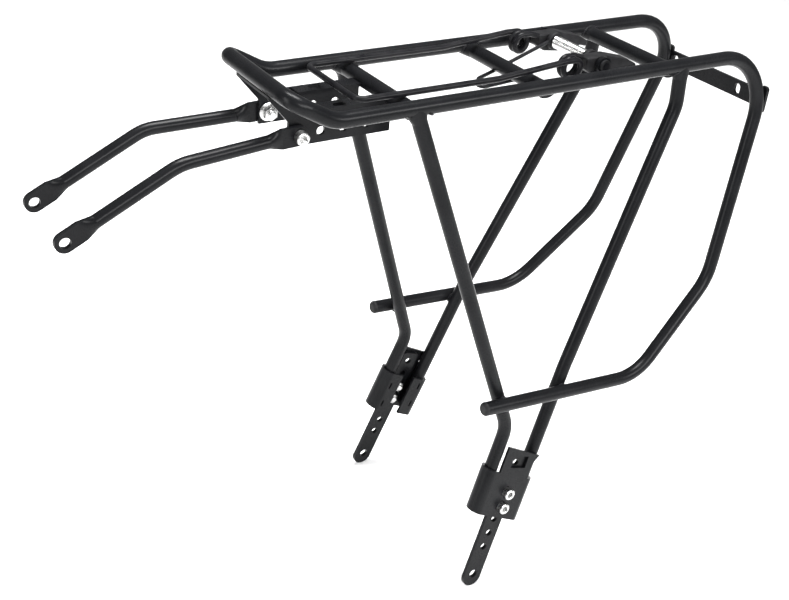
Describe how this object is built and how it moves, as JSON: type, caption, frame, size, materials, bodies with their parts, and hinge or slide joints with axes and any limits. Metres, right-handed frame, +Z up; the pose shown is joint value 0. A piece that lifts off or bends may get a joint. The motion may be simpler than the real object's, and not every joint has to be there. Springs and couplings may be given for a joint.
{
  "type": "bicycle rear rack",
  "caption": "Tubular rear rack with a looped deck, pannier hoops, slotted strut feet, swinging stays and a sprung clamp",
  "frame": {"origin": "midway between the centres of the two lower strut eyes, on the centre plane of the rack", "axes": "+X to the rear of the bicycle along the deck rails, +Y to the bicycle's right, +Z up"},
  "size_m": [0.5167, 0.1702, 0.3984],
  "materials": {
    "black_powder_coat": "semi-gloss powder coat",
    "black_wire_coat": "semi-gloss coat on drawn wire",
    "black_plastic": "moulded, satin",
    "zinc_steel": "bright zinc plate"
  },
  "bodies": {
    "frame": {"deck_hoop": "black_powder_coat", "front_cross_tube": "black_powder_coat", "middle_cross_tube": "black_powder_coat", "rear_cross_tube": "black_powder_coat", "front_strap": "black_powder_coat", "light_plate": "black_powder_coat", "left_front_leg": "black_powder_coat", "right_front_leg": "black_powder_coat", "left_rear_leg": "black_powder_coat", "right_rear_leg": "black_powder_coat", "left_pannier_hoop": "black_powder_coat", "right_pannier_hoop": "black_powder_coat", "left_strut": "black_powder_coat", "right_strut": "black_powder_coat", "left_strut_bracket": "black_powder_coat", "right_strut_bracket": "black_powder_coat", "left_stay_channel": "black_powder_coat", "right_stay_channel": "black_powder_coat", "left_hinge_lug": "black_powder_coat", "right_hinge_lug": "black_powder_coat", "spring_leg": "black_wire_coat", "clamp_axle": "black_wire_coat", "rail_end_plugs": "black_plastic", "spring_collars": "black_plastic", "axle_caps": "black_plastic", "strut_screws": "zinc_steel", "strut_nuts": "zinc_steel", "stay_screws": "zinc_steel", "stay_nuts": "zinc_steel", "torsion_spring": "zinc_steel"},
    "clamp": {"clamp_bow": "black_wire_coat", "left_clamp_lever": "black_plastic", "right_clamp_lever": "black_plastic"},
    "stay_left": {"left_stay": "black_powder_coat"},
    "stay_right": {"right_stay": "black_powder_coat"}
  },
  "joints": [
    {"name": "clamp_hinge", "type": "hinge", "parent": "frame", "child": "clamp", "pos_m": [0.09, 0, 0.372], "axis": [0, 1, 0], "range_deg": [0, 95], "stiffness_Nm_per_rad": 0.4, "springref_deg": -28.65},
    {"name": "left_stay_pivot", "type": "hinge", "parent": "frame", "child": "stay_left", "pos_m": [-0.1295, -0.02175, 0.3522], "axis": [0, 1, 0], "range_deg": [-60, 28]},
    {"name": "right_stay_pivot", "type": "hinge", "parent": "frame", "child": "stay_right", "pos_m": [-0.1295, 0.02175, 0.3522], "axis": [0, 1, 0], "range_deg": [-60, 28]}
  ]
}
